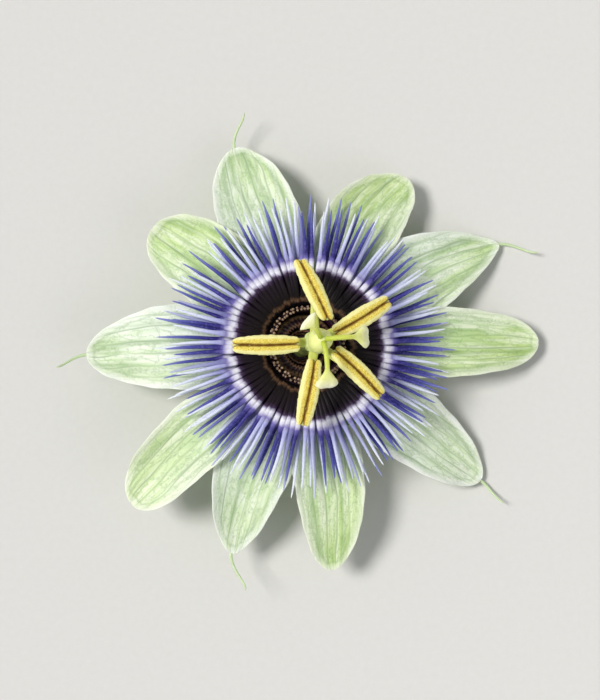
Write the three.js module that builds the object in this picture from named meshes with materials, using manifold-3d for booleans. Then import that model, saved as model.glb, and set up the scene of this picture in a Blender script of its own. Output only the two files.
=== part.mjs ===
// A picked passion flower, face up on a table.
// Millimetres, +Z up, the table is z = 0. The face looks up and leans a little towards +X, so the
// flower stands on two sepal tips on that side and on its own cut stalk on the other.
// Every piece of the bloom is built in the flower's own frame: its z axis comes out of the face, and
// its origin is the middle of the rim of the floral cup. One group then leans and lifts the bloom.

import * as THREE from "three";
import { mergeVertices } from "three/addons/utils/BufferGeometryUtils.js";
import Module from "manifold-3d";

const wasm = await Module();
wasm.setup();

// ---- How the flower lies -------------------------------------------------------------------------

const LEAN = 7; // degrees that the face leans from level
const LEAN_TOWARDS = 20; // azimuth of the lean, degrees from +X
const RIM_CENTRE = new THREE.Vector3(0.87, 0.74, 12.6); // middle of the cup's rim, above the table

// ---- Driving dimensions of the bloom -------------------------------------------------------------

function shape(fullest, narrowing, square, bow, swing) {
  return { fullest, narrowing, square, bow, swing };
}

const SEAT_GAP = 0.3; // between a piece and what carries it

// Floral cup: a shallow bowl with a flat ledge for a rim, on a short neck.
const CUP = { rim: 9.8, ledge: 6.9, rimTop: 0.6, floor: -3.6, bottom: -5.2, neck: 1.6, neckEnd: -7.5 };

// Sepals and petals: azimuth and reach of the tip, greatest width, height of the tip (degrees, mm);
// where along the blade it is fullest, how much it narrows past that, how square its end is; how far
// it bows and its tip swings to the side, and how far the tip of a sepal's awn curls to the side.
const SEPALS = [
  { azimuth: 28.8, reach: 46.5, width: 17.6, tip: -6.3, ...shape(0.35, 0.43, 1.8, 1.5, -1.0), curl: -4.2 },
  { azimuth: 108.3, reach: 42.0, width: 16.8, tip: -6.6, ...shape(0.51, 0.08, 1.8, 0.4, -0.3), curl: -3.4 },
  { azimuth: 181.8, reach: 42.6, width: 17.3, tip: -6.8, ...shape(0.35, 0.05, 1.8, -0.6, 0.2), curl: 2.0 },
  { azimuth: 250.8, reach: 43.0, width: 16.0, tip: -7.4, ...shape(0.35, 0.2, 1.8, -2.0, 0.4), curl: 3.6 },
  { azimuth: 324.8, reach: 45.9, width: 15.6, tip: -8.6, ...shape(0.35, 0.04, 1.8, 0.0, 0.2), curl: -1.5 },
];
const PETALS = [
  { azimuth: 59.4, reach: 40.5, width: 15.9, tip: -3.8, ...shape(0.35, 0.0, 2.6, 2.5, -0.9) },
  { azimuth: 140.8, reach: 37.9, width: 16.9, tip: -4.4, ...shape(0.35, 0.37, 7.0, -0.5, 0.4) },
  { azimuth: 221.6, reach: 46.0, width: 13.7, tip: -4.6, ...shape(0.44, 0.31, 7.0, -1.2, 0.7) },
  { azimuth: 278.8, reach: 44.6, width: 14.7, tip: -4.8, ...shape(0.35, 0.49, 7.0, 0.8, -0.6) },
  { azimuth: 1.7, reach: 48.9, width: 14.3, tip: -4.4, ...shape(0.35, 0.37, 6.5, 0.2, -0.1) },
];
const TEPAL_ROOT = CUP.rim + SEAT_GAP; // radius where the blades begin
const SEPAL = { root: -1.5, thickness: 0.8, baseWidth: 0.46, lift: 2.0, cup: 0.7 };
const PETAL = { root: 0.0, thickness: 0.6, baseWidth: 0.42, lift: 2.0, cup: 0.5 };
const AWN = { length: 7, radius: 0.42, start: 0.84 }; // the thread behind each sepal's tip

// Bracts: three leafy scales on the neck, under the cup.
const BRACTS = [75, 195, 315];
const BRACT = { root: 1.95, height: -6.7, reach: 22, width: 17, thickness: 0.5, cup: 1.2 };

// Corona: rows of threads, each row growing out of its own ring on the cup's ledge.
const OUTER_ROW = { inner: 8.9, outer: 9.7, top: 1.6, count: 54, radius: 0.36 };
const SECOND_ROW = { inner: 7.9, outer: 8.6, top: 2.1, count: 50, radius: 0.33 };
const INNER_ROW = { inner: 7.0, outer: 7.6, top: 1.5, count: 40, radius: 0.3 };
const OUTER_LINE = [[9.3, 1.4], [13, 2.7], [20, 2.9], [27.5, 2.0]];
const SECOND_LINE = [[8.25, 1.8], [10.8, 5.0], [18, 4.9], [24.5, 4.0]];
const INNER_LINE = [[7.3, 1.2], [7.5, 2.6], [7.2, 3.6], [6.9, 4.6]];

// Column, ovary, stamens and styles in the middle.
const COLUMN_TOP = 12.0;
const OVARY = { bottom: COLUMN_TOP + SEAT_GAP, top: 19.1, radius: 2.3 };
// Stamens, one in front of each sepal: the azimuth, and the anther's turn about its own middle.
const STAMENS = [
  { azimuth: 29.5, turn: -1 },
  { azimuth: 93.5, turn: 19 },
  { azimuth: 183, turn: -1 },
  { azimuth: 259.5, turn: 3 },
  { azimuth: 321.5, turn: -3 },
];
const FILAMENT = { root: 2.6, rootHeight: 11.3, tip: 9.9, tipHeight: 11.9, width: 1.9, thickness: 0.8 };
const ANTHER = { middle: 10.0, height: 13.5, length: 13, width: 3.8, thickness: 1.8, dip: 4 };
const STYLES = [
  { azimuth: 138, line: [[1.0, 19.4], [1.7, 21.4], [3.2, 22.6], [5.2, 21.8]] },
  { azimuth: 4, line: [[1.0, 19.4], [2.2, 21.8], [6.6, 21.4], [8.9, 17.4]] },
  { azimuth: 276, line: [[1.0, 19.4], [2.2, 21.6], [6.8, 20.8], [9.1, 16.9]] },
];
const STYLE = { radius: 0.45, stigma: 1.45 };

// Cut stalk: it leaves the neck along the flower's axis, turns and lies along the table. The points
// of its middle line are sideways from the rim's centre and up from the table.
const STALK = { radius: 1.0, top: 1.45, below: CUP.neckEnd - 0.35 };
const STALK_ON_TABLE = [
  [-3.9, -0.4, 2.2],
  [-8.6, -0.9, 1.15],
  [-16.5, -1.8, 1.05],
  [-26.5, -3.0, 1.05],
  [-36.5, -3.4, 1.05],
];

// ---- Materials -----------------------------------------------------------------------------------

const tissue = (color, roughness) => new THREE.MeshStandardMaterial({ color, roughness, metalness: 0 });
const SEPAL_GREEN = tissue(0xcfe3b4, 0.55);
const PETAL_WHITE = tissue(0xe6eed2, 0.5);
const LEAF_GREEN = tissue(0x8fb85e, 0.55);
const STALK_GREEN = tissue(0x5f8440, 0.5);
const CORONA_BLUE = tissue(0x5a50b8, 0.45);
const DARK_PURPLE = tissue(0x2a1030, 0.4);
const COLUMN_GREEN = tissue(0xb7c77a, 0.45);
const ANTHER_YELLOW = tissue(0xe0bd45, 0.7);
const OVARY_GREEN = tissue(0xbfd28a, 0.4);
const STYLE_CREAM = tissue(0xd9dfa0, 0.4);

// ---- Shape tools ---------------------------------------------------------------------------------

const degrees = THREE.MathUtils.degToRad;
const smoothstep = THREE.MathUtils.smoothstep;

// Welds a geometry and moves each of its vertices to where place(x, y, z) says.
function reshape(geometry, place) {
  geometry.deleteAttribute("normal");
  geometry.deleteAttribute("uv");
  const welded = mergeVertices(geometry, 1e-4);
  const position = welded.getAttribute("position");
  for (let i = 0; i < position.count; i++) {
    const moved = place(position.getX(i), position.getY(i), position.getZ(i));
    position.setXYZ(i, moved.x, moved.y, moved.z);
  }
  welded.computeVertexNormals();
  return welded;
}

// A curve in the upright plane of azimuth 0, from [radius, height] control points.
function lineOf([start, a, b, end]) {
  const at = ([r, z]) => new THREE.Vector3(r, 0, z);
  return new THREE.CubicBezierCurve3(at(start), at(a), at(b), at(end));
}

// A thin blade along a line in the upright plane: halfWidth(t) across, its middle sideways(t) to the
// side, rising by cup(t) at its edges.
function blade(line, { halfWidth, sideways, thickness, cup, lengthSteps, widthSteps }) {
  const box = new THREE.BoxGeometry(1, 2, 1, lengthSteps, widthSteps, 1);
  return reshape(box, (x, across, through) => {
    const t = 1 - (0.5 - x) ** 1.4; // closer steps towards the tip
    const middle = line.getPoint(t);
    const tangent = line.getTangent(t);
    const up = new THREE.Vector3(-tangent.z, 0, tangent.x);
    return middle
      .addScaledVector(up, through * thickness + cup(t) * across ** 2)
      .setY(sideways(t) + across * halfWidth(t));
  });
}

// A tapering tube along a curve; size(t) gives its half width and half height. On a curve in the
// upright plane of azimuth 0 the normals lie level, so the width is level too.
function tube(curve, size, sides, steps) {
  const { normals, binormals } = curve.computeFrenetFrames(steps);
  const rod = new THREE.CylinderGeometry(1, 1, 1, sides, steps);
  return reshape(rod, (x, y, z) => {
    const t = y + 0.5;
    const ring = Math.round(t * steps);
    const [wide, high] = size(t);
    return curve
      .getPointAt(t)
      .addScaledVector(normals[ring], x * wide)
      .addScaledVector(binormals[ring], -z * high);
  });
}

// A solid of revolution about z from [radius, height] points, listed from the bottom outwards and up.
function turned(points, segments) {
  const profile = points.map(([r, z]) => new THREE.Vector2(r, z));
  return new THREE.LatheGeometry(profile, segments).rotateX(Math.PI / 2);
}

function solidOf(geometry) {
  const bare = new THREE.BufferGeometry().setAttribute("position", geometry.getAttribute("position"));
  bare.setIndex(geometry.getIndex());
  const welded = mergeVertices(bare, 1e-4);
  return new wasm.Manifold(new wasm.Mesh({
    numProp: 3,
    vertProperties: welded.getAttribute("position").array,
    triVerts: new Uint32Array(welded.getIndex().array),
  }));
}

// One closed geometry from several that overlap.
function joined(geometries) {
  const whole = geometries.map(solidOf).reduce((sum, piece) => sum.add(piece)).getMesh();
  const geometry = new THREE.BufferGeometry();
  geometry.setAttribute("position", new THREE.BufferAttribute(whole.vertProperties, 3));
  geometry.setIndex(new THREE.BufferAttribute(whole.triVerts, 1));
  geometry.computeVertexNormals();
  return geometry;
}

const flower = new THREE.Group();
const bloom = new THREE.Group();
flower.add(bloom);

function add(name, geometry, material, azimuth = 0, parent = bloom) {
  const mesh = new THREE.Mesh(geometry, material);
  mesh.name = name;
  mesh.rotation.z = degrees(azimuth);
  parent.add(mesh);
}

// ---- Floral cup ----------------------------------------------------------------------------------

function floralCup() {
  return turned([
    [0, CUP.neckEnd], [CUP.neck, CUP.neckEnd], [CUP.neck, CUP.bottom - 0.6], [3.4, CUP.bottom],
    [7.2, CUP.bottom + 0.9], [9.2, -2.4], [CUP.rim, -0.6], [CUP.rim, CUP.rimTop],
    [CUP.ledge, CUP.rimTop], [6.7, -1.6], [5.8, -3.0], [4.0, CUP.floor], [0, CUP.floor],
  ], 28);
}

// ---- Sepals and petals ---------------------------------------------------------------------------

// Share of the full width along a blade: narrow at the root, then fullest, then a blunt tip.
function tepalOutline({ baseWidth }, { fullest, narrowing, square }) {
  const tipShare = 0.14;
  return (t) => {
    const fromRoot = THREE.MathUtils.lerp(baseWidth, 1, smoothstep(t, 0, fullest));
    const past = Math.max(0, (t - fullest) / (1 - fullest));
    const toTip = (1 - narrowing * past ** 1.7) * Math.sqrt(1 - past ** square);
    return fromRoot * Math.max(tipShare, toTip);
  };
}

// The line of a sepal or petal: a low arch from the cup, then down to its tip.
function tepalLine(kind, { reach, tip }) {
  const length = reach - TEPAL_ROOT;
  const { root, lift } = kind;
  return lineOf([
    [TEPAL_ROOT, root],
    [TEPAL_ROOT + 0.34 * length, root + lift],
    [TEPAL_ROOT + 0.7 * length, tip + 2.2],
    [reach, tip],
  ]);
}

// How far the middle of a sepal or petal lies to the side of its azimuth.
function tepalSideways({ bow, swing }, t) {
  return bow * Math.sin(Math.PI * t) + swing * t ** 2;
}

function tepal(kind, place) {
  const outline = tepalOutline(kind, place);
  return blade(tepalLine(kind, place), {
    halfWidth: (t) => (place.width / 2) * outline(t),
    sideways: (t) => tepalSideways(place, t),
    thickness: kind.thickness,
    cup: (t) => kind.cup * smoothstep(t, 0.55, 0.9),
    lengthSteps: 10,
    widthSteps: 4,
  });
}

// The awn leaves the sepal's back a little before the tip, curves up past it and curls to the side.
function awn(place) {
  const line = tepalLine(SEPAL, place);
  const start = line.getPoint(AWN.start);
  const tangent = line.getTangent(AWN.start);
  const up = new THREE.Vector3(-tangent.z, 0, tangent.x);
  const tipDistance = (1 - AWN.start) * line.getLength();
  const startSide = tepalSideways(place, AWN.start);
  const slope = (tepalSideways(place, 1) - startSide) / tipDistance;
  const along = (distance, rise, curl) => start
    .clone()
    .addScaledVector(tangent, distance)
    .addScaledVector(up, rise)
    .setY(startSide + slope * distance + curl);
  const curve = new THREE.CubicBezierCurve3(
    along(0, -0.25, 0),
    along(tipDistance * 0.7, -0.35, 0),
    along(tipDistance + AWN.length * 0.4, 0.1, 0),
    along(tipDistance + AWN.length * 0.9, 2.6, place.curl),
  );
  return tube(curve, (t) => [AWN.radius * (1 - 0.6 * t), AWN.radius * (1 - 0.6 * t)], 5, 5);
}

// ---- Bracts --------------------------------------------------------------------------------------

function bract() {
  const { root, height, reach, width, thickness, cup } = BRACT;
  const line = lineOf([
    [root, height], [root + 6, height - 1.0], [reach - 7, height - 0.2], [reach, height + 1.7],
  ]);
  const outline = (t) => Math.max(0.1, 0.2 + 0.8 * Math.sin(Math.PI * Math.min(1, t * 1.05)) ** 0.8);
  const pointed = (t) => outline(t) * (1 - 0.75 * smoothstep(t, 0.7, 1));
  return blade(line, {
    halfWidth: (t) => (width / 2) * pointed(t),
    sideways: () => 0,
    thickness,
    cup: (t) => cup * smoothstep(t, 0.1, 0.6),
    lengthSteps: 8,
    widthSteps: 4,
  });
}

// ---- Corona --------------------------------------------------------------------------------------

// A ring on the cup's ledge with its threads, each row joined into one piece.
function coronaRow({ inner, outer, top, count, radius }, points, steps) {
  const seat = CUP.rimTop + SEAT_GAP;
  const section = [[inner, seat], [outer, seat], [outer, top], [inner, top], [inner, seat]];
  const ring = turned(section, count).rotateZ(Math.PI / count); // a thread in the middle of each facet
  const taper = (t) => [radius * (1 - 0.45 * t), radius * (1 - 0.45 * t)];
  const thread = tube(lineOf(points), taper, 3, steps);
  const threads = Array.from({ length: count }, (_, i) =>
    thread.clone().rotateZ((2 * Math.PI * i) / count));
  return joined([ring, ...threads]);
}

// ---- Inside the cup ------------------------------------------------------------------------------

// The operculum is a folded skirt on the cup's wall that roofs the nectar.
function operculum() {
  return turned([[6.25, -1.6], [6.3, -1.0], [4.5, 0.1], [4.1, -0.3], [5.2, -1.4], [6.25, -1.6]], 24);
}

// The limen is a low collar round the foot of the column.
function limen() {
  const foot = CUP.floor + SEAT_GAP;
  return turned([[2.4, foot], [3.2, foot], [3.3, foot + 1.5], [2.9, foot + 1.6], [2.4, foot]], 20);
}

function column() {
  return turned([
    [0, CUP.floor + SEAT_GAP], [1.9, CUP.floor + SEAT_GAP], [1.7, -1.6], [1.75, -0.8], [1.3, 0.3],
    [1.2, 4.0], [1.2, 8.2], [1.6, 10.0], [2.25, 10.9], [2.25, 11.7], [1.7, COLUMN_TOP], [0, COLUMN_TOP],
  ], 14);
}

function ovary() {
  const { bottom, top, radius } = OVARY;
  return turned([
    [0, bottom], [0.6 * radius, bottom], [0.9 * radius, bottom + 1.5], [radius, bottom + 3.1],
    [0.86 * radius, bottom + 4.8], [0.5 * radius, top - 0.4], [0, top],
  ], 14);
}

// ---- Stamens and styles --------------------------------------------------------------------------

function stamenFilament() {
  const { root, rootHeight, tip, tipHeight, width, thickness } = FILAMENT;
  const line = lineOf([
    [root, rootHeight], [root + 2.5, rootHeight + 0.7], [tip - 2.5, tipHeight + 0.3], [tip, tipHeight],
  ]);
  return tube(line, (t) => [(width / 2) * (1 - 0.4 * t), thickness / 2], 8, 5);
}

function anther(turn) {
  const { middle, height, length, width, thickness, dip } = ANTHER;
  const drop = (length / 2) * Math.sin(degrees(dip));
  const line = new THREE.LineCurve3(
    new THREE.Vector3(middle - length / 2, 0, height + drop),
    new THREE.Vector3(middle + length / 2, 0, height - drop),
  );
  const blunt = (t) => 0.35 + 0.65 * Math.sin(Math.PI * t) ** 0.45;
  const bar = tube(line, (t) => [(width / 2) * blunt(t), (thickness / 2) * blunt(t)], 8, 6);
  return bar.translate(-middle, 0, 0).rotateZ(degrees(turn)).translate(middle, 0, 0);
}

function style(points) {
  const { radius, stigma } = STYLE;
  const head = (t) => (stigma - radius) * Math.sin(Math.PI * THREE.MathUtils.clamp((t - 0.7) / 0.34, 0, 1));
  return tube(lineOf(points), (t) => [radius + head(t), radius + head(t)], 6, 10);
}

// ---- Cut stalk -----------------------------------------------------------------------------------

function stalk() {
  const seat = bloom.localToWorld(new THREE.Vector3(0, 0, STALK.below));
  const under = bloom.localToWorld(new THREE.Vector3(-0.1, 0, STALK.below - 1.0));
  const onTable = STALK_ON_TABLE.map(([x, y, z]) =>
    new THREE.Vector3(RIM_CENTRE.x + x, RIM_CENTRE.y + y, z));
  const path = new THREE.CatmullRomCurve3([seat, under, ...onTable], false, "centripetal");
  const swelling = (t) => (STALK.top - STALK.radius) * Math.exp(-((t / 0.05) ** 2));
  return tube(path, (t) => [STALK.radius + swelling(t), STALK.radius + swelling(t)], 8, 28);
}

// ---- Assembly ------------------------------------------------------------------------------------

const leanAxis = new THREE.Vector3(
  -Math.sin(degrees(LEAN_TOWARDS)), Math.cos(degrees(LEAN_TOWARDS)), 0,
);
bloom.quaternion.setFromAxisAngle(leanAxis, degrees(LEAN));
bloom.position.copy(RIM_CENTRE);
bloom.updateMatrixWorld(true);

add("floral_cup", floralCup(), LEAF_GREEN);
SEPALS.forEach((place, i) =>
  add(`sepal_${i + 1}`, joined([tepal(SEPAL, place), awn(place)]), SEPAL_GREEN, place.azimuth));
PETALS.forEach((place, i) => add(`petal_${i + 1}`, tepal(PETAL, place), PETAL_WHITE, place.azimuth));
BRACTS.forEach((azimuth, i) => add(`bract_${i + 1}`, bract(), LEAF_GREEN, azimuth));

add("corona_outer_row", coronaRow(OUTER_ROW, OUTER_LINE, 3), CORONA_BLUE);
add("corona_second_row", coronaRow(SECOND_ROW, SECOND_LINE, 3), CORONA_BLUE);
add("corona_inner_row", coronaRow(INNER_ROW, INNER_LINE, 1), DARK_PURPLE);
add("operculum", operculum(), DARK_PURPLE);
add("limen", limen(), DARK_PURPLE);

add("column", column(), COLUMN_GREEN);
add("ovary", ovary(), OVARY_GREEN);
STAMENS.forEach(({ azimuth, turn }, i) => {
  add(`stamen_filament_${i + 1}`, stamenFilament(), COLUMN_GREEN, azimuth);
  add(`anther_${i + 1}`, anther(turn), ANTHER_YELLOW, azimuth);
});
STYLES.forEach(({ azimuth, line }, i) => add(`style_${i + 1}`, style(line), STYLE_CREAM, azimuth));

add("stalk", stalk(), STALK_GREEN, 0, flower);

export default flower;
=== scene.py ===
# A picked passion flower, lying face up: its looks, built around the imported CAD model.
# The bloom's pieces are shaped in millimetres in the flower's own frame: z comes out of the face, the
# origin is the middle of the floral cup's rim, and azimuths are degrees from +X. in_world() leans the
# flower and turns millimetres into the scene's metres. The stalk is shaped in world millimetres.

import math

import bmesh
import bpy
import numpy as np
from mathutils import Matrix, Vector, noise


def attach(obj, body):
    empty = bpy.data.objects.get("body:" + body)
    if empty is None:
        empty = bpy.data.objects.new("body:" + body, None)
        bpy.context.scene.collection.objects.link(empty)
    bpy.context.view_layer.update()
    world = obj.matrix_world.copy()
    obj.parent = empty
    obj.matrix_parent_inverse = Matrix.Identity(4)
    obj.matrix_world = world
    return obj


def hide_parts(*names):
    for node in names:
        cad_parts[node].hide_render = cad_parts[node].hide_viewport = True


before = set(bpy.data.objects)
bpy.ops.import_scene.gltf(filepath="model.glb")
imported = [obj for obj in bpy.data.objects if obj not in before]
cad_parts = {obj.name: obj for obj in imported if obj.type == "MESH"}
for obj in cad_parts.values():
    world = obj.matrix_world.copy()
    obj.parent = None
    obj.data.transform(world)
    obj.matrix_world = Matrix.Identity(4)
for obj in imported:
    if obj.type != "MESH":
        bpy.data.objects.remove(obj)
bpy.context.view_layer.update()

MM = 0.001
BODY = "root"
scene = bpy.context.scene

# ---- How the flower lies, and its dimensions ----

LEAN = 7  # degrees that the face leans from level
LEAN_TOWARDS = 20  # azimuth of the lean
RIM_CENTRE = np.array([0.87, 0.74, 12.6])  # middle of the cup's rim, above the table

TEPAL_ROOT = 10.1  # radius where the blades begin

# What the sepals share, what the petals share, and then the values of each one, in their order.
# azimuth, reach and tip: direction, radius and height of the tip; width: the greatest; fullest: where
# that lies along the blade; narrowing: how much is lost past that; square: how blunt the end is; bow and
# swing: how far the middle and the tip lie to the side; twist: in degrees; fold: how steeply the halves
# rise from the middle; green: how green it is, and greener: on which side more, and on which side
# painted shade darkens it (1: towards growing azimuths); curl: how far the tip of a sepal's awn swings
# to the side.
SEPAL = dict(root=-1.5, thickness=0.8, base_width=0.46, lift=2.0, cup=0.7, keel=0.55, folds=7, square=1.8)
PETAL = dict(root=0.0, thickness=0.55, base_width=0.42, lift=2.0, cup=0.5, keel=0.12, folds=6)
SEPALS = dict(
    azimuth=[28.8, 108.3, 181.8, 250.8, 324.8],
    reach=[46.5, 42.0, 42.6, 43.0, 45.9],
    tip=[-6.3, -6.6, -6.8, -7.4, -8.6],
    width=[17.6, 16.8, 17.3, 16.0, 15.6],
    fullest=[0.35, 0.51, 0.35, 0.35, 0.35],
    narrowing=[0.43, 0.08, 0.05, 0.2, 0.04],
    bow=[1.5, 0.4, -0.6, -2.0, 0.0],
    swing=[-1.0, -0.3, 0.2, 0.4, 0.2],
    twist=[-4, -3, 4, -6, -7],
    fold=[0.3, 0.4, 0.3, 0.5, 0.4],
    # The last sepal's green is set low as painted light: it whitens that sepal to lift the shade it lies
    # in.
    green=[0.5, 0.4, 0.1, 0.3, 0.05],
    greener=[-1, -1, 1, 1, 1],
    curl=[-4.2, -3.4, 2.0, 3.6, -1.5],
)
PETALS = dict(
    azimuth=[59.4, 140.8, 221.6, 278.8, 1.7],
    reach=[40.5, 37.9, 46.0, 44.6, 48.9],
    tip=[-3.8, -4.4, -4.6, -4.8, -4.4],
    width=[15.9, 16.9, 13.7, 14.7, 14.3],
    fullest=[0.35, 0.35, 0.44, 0.35, 0.35],
    narrowing=[0.0, 0.37, 0.31, 0.49, 0.37],
    square=[2.6, 7.0, 7.0, 7.0, 6.5],
    bow=[2.5, -0.5, -1.2, 0.8, 0.2],
    swing=[-0.9, 0.4, 0.7, -0.6, -0.1],
    twist=[4, -4, 7, -3, 3],
    fold=[0.4, 0.4, 0.5, 0.4, 0.5],
    green=[0.6, 0.55, 0.15, 0.5, 0.65],
    greener=[1, -1, -1, 1, -1],
)
HOOD = 0.7  # rise of a blade's very tip
AWN = dict(length=7, radius=0.42, start=0.84)

BRACTS = [75, 195, 315]
BRACT = dict(root=1.95, height=-6.7, reach=22, width=17, thickness=0.5, cup=1.2)

# Corona: each row's ring on the cup's ledge, the line of its threads and their half widths.
OUTER_ROW = dict(inner=8.9, outer=9.7, top=1.6, count=84)
SECOND_ROW = dict(inner=7.9, outer=8.6, top=2.1, count=84)
INNER_ROW = dict(inner=7.0, outer=7.6, top=1.5, count=60)
RING_SEAT = 0.65
THREAD_SPAN = 30.0  # radius that the threads' colour bands are counted against
OUTER_LINE = [[9.3, 1.4], [13, 2.7], [20, 2.9], [27.5, 2.0]]
SECOND_LINE = [[8.25, 1.8], [10.8, 5.0], [18, 4.9], [24.5, 4.0]]
INNER_LINE = [[7.3, 1.2], [7.5, 2.6], [7.2, 3.6], [6.9, 4.6]]
LOWER_LINE = [[7.4, 1.1], [7.6, 1.9], [7.65, 2.6], [7.55, 3.2]]
THREAD = dict(wide=0.57, high=0.4)
WHITE_RING_EDGE = 16.8  # outer radius of the ring that the threads' white bands make

OVARY = dict(bottom=12.2, top=19.1, radius=2.3)
# Stamens: azimuth of each, and turn of its anther, in degrees.
STAMENS = [(29.5, -1), (93.5, 19), (183, -1), (259.5, 3), (321.5, -3)]
FILAMENT = dict(root=1.7, low=11.2, tip=9.9, high=13.0, width=1.9, thickness=0.8)
ANTHER = dict(middle=10.0, height=13.75, length=13, width=3.8, dip=4)

# Styles: azimuth of each, and the [radius, height] points that draw its line.
STYLES = [
    (138, [[0.7, 18.9], [1.7, 21.4], [3.2, 22.6], [5.2, 21.8]]),
    (4, [[0.7, 18.9], [2.2, 21.8], [6.6, 21.4], [8.9, 17.4]]),
    (276, [[0.7, 18.9], [2.2, 21.6], [6.8, 20.8], [9.1, 16.9]]),
]
STYLE = dict(radius=0.45, stigma=2.3)

STALK = dict(radius=1.0, top=1.5, below=-7.4)
# Its line on the table: points beside the rim's middle, and heights above the table.
STALK_ON_TABLE = [
    [-3.9, -0.4, 2.2], [-8.6, -0.9, 1.15], [-16.5, -1.8, 1.05], [-26.5, -3.0, 1.05], [-36.5, -3.4, 1.05],
]

# ---- How finely the skins are drawn ----

# Rings along a piece, points round each ring, and points from side to side of a blade's face.
RINGS = dict(tepal=110, awn=44, bract=90, thread=48, cup=150, column=110, ovary=60, filament=50,
             anther=110, style=120, stalk=150)
AROUND = dict(thread=10, row=120, row_section=16, operculum=504, limen=300, cup=160, column=60,
              ovary=72, filament=16, lobe=28, spine=16, style=44, stalk=40)
BLADE_STEPS = 30
POINT = 0.02  # least half width, where a skin closes to a point
SEED = 20

# ---- Camera and light ----

CAMERA_TILT = 4.3  # degrees that the camera stands from straight above
CAMERA_TOWARDS = LEAN_TOWARDS + 182  # azimuth it stands towards: the side the face leans from
CAMERA_DISTANCE = 0.5
CAMERA_LENS = 130
LOOK_AT = Vector((0.0, 0.0, 0.012))

# A soft sun from the left, and a weak lamp from the right to fill its shadows.
SUN = dict(place=(-0.32, 0.07, 0.5), energy=2.55, angle=math.radians(17), color=(1.0, 0.985, 0.96))
FILL = dict(place=(0.35, -0.3, 0.55), energy=0.5, shape="DISK", size=0.5)
# The studio's light, from the horizon to overhead, by the height of its direction.
STUDIO = [(0.12, (0.66, 0.66, 0.65, 1.0)), (0.6, (0.28, 0.285, 0.3, 1.0))]

SIDE = np.array([0.0, 1.0, 0.0])  # level, and square to the upright plane of azimuth 0

rng = np.random.default_rng(SEED)


# ---- Shape tools ----


def lean_matrix():
    towards = math.radians(LEAN_TOWARDS)
    axis = Vector((-math.sin(towards), math.cos(towards), 0))
    return np.array(Matrix.Rotation(math.radians(LEAN), 3, axis))


def in_world(points):
    """Millimetres in the flower's frame to the world's metres."""
    return (points @ lean_matrix().T + RIM_CENTRE) * MM


def on_table(points):
    """World millimetres to metres."""
    return points * MM


def rise(value, low, high):
    """0 below low and 1 above high, with a smooth step between."""
    share = np.clip((value - low) / (high - low), 0, 1)
    return share * share * (3 - 2 * share)


def unit(vectors):
    return vectors / np.linalg.norm(vectors, axis=-1, keepdims=True)


def shares(name):
    """Shares of the way along a piece, one for each of its rings."""
    return np.linspace(0, 1, RINGS[name])


def angles(count):
    """Angles evenly round a full turn."""
    return np.linspace(0, 2 * math.pi, count, endpoint=False)


def turn(points, azimuth):
    """Points turned about the flower's axis, in degrees."""
    return points @ np.array(Matrix.Rotation(math.radians(azimuth), 3, "Z")).T


def upright_curve(points, t):
    """A cubic curve in the upright plane of azimuth 0, from four [radius, height] points."""
    a, b, c, d = (np.array([radius, 0.0, height]) for radius, height in points)
    t = np.asarray(t)[:, None]
    return a * (1 - t) ** 3 + 3 * b * t * (1 - t) ** 2 + 3 * c * t**2 * (1 - t) + d * t**3


def smooth_path(points, count):
    """A centripetal Catmull-Rom curve through the points, as count points."""
    points = np.array(points, float)
    points = np.vstack([2 * points[0] - points[1], points, 2 * points[-1] - points[-2]])
    steps = np.sqrt(np.linalg.norm(np.diff(points, axis=0), axis=1))
    knots = np.concatenate([[0], np.cumsum(steps)])
    place = np.linspace(knots[1], knots[-2], count)
    first = np.clip(np.searchsorted(knots, place, side="right") - 1, 1, len(points) - 3)
    p = [points[first + k] for k in (-1, 0, 1, 2)]
    k = [knots[first + j][:, None] for j in (-1, 0, 1, 2)]
    t = place[:, None]

    def between(a, b, low, high):
        return a + (b - a) * (t - low) / (high - low)

    a = [between(p[i], p[i + 1], k[i], k[i + 1]) for i in range(3)]
    b = [between(a[i], a[i + 1], k[i], k[i + 2]) for i in range(2)]
    return between(b[0], b[1], k[1], k[2])


def tube_rings(line, wide, high, around=AROUND["thread"]):
    """Oval rings along a line of points, wide from side to side and high across that."""
    tangent = unit(np.gradient(line, axis=0))
    up = unit(np.cross(tangent, SIDE))
    across = np.cross(up, tangent)
    angle = angles(around)
    sideways = across[:, None] * (wide[:, None] * np.cos(angle))[..., None]
    upwards = up[:, None] * (high[:, None] * np.sin(angle))[..., None]
    return line[:, None] + sideways + upwards


def turned_rings(profile, around):
    """Level rings about the flower's axis, one for each [radius, height] of a profile."""
    angle = angles(around)
    radius, height = np.array(profile, float).T[..., None]
    return np.stack([radius * np.cos(angle), radius * np.sin(angle), height + 0 * angle], axis=-1)


def round_ends(t, start, end):
    """1 along the middle of a body, curving to 0 over the given shares at its ends."""
    from_start = np.clip(t / start, 0, 1)
    from_end = np.clip((1 - t) / end, 0, 1)
    return np.sqrt(1 - (1 - from_start) ** 2) * np.sqrt(1 - (1 - from_end) ** 2)


def noise_at(points, scale):
    """Smooth noise, -1 to 1, at each of the points."""
    flat = points.reshape(-1, 3) * scale
    values = [noise.noise(Vector(point)) for point in flat]
    return np.array(values).reshape(points.shape[:-1])


def roughen(rings, amount, scale):
    """Pushes the points of rings out from or in to their middles by noise."""
    outwards = unit(rings - rings.mean(axis=1, keepdims=True))
    return rings + outwards * (amount * noise_at(rings, scale))[..., None]


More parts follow.
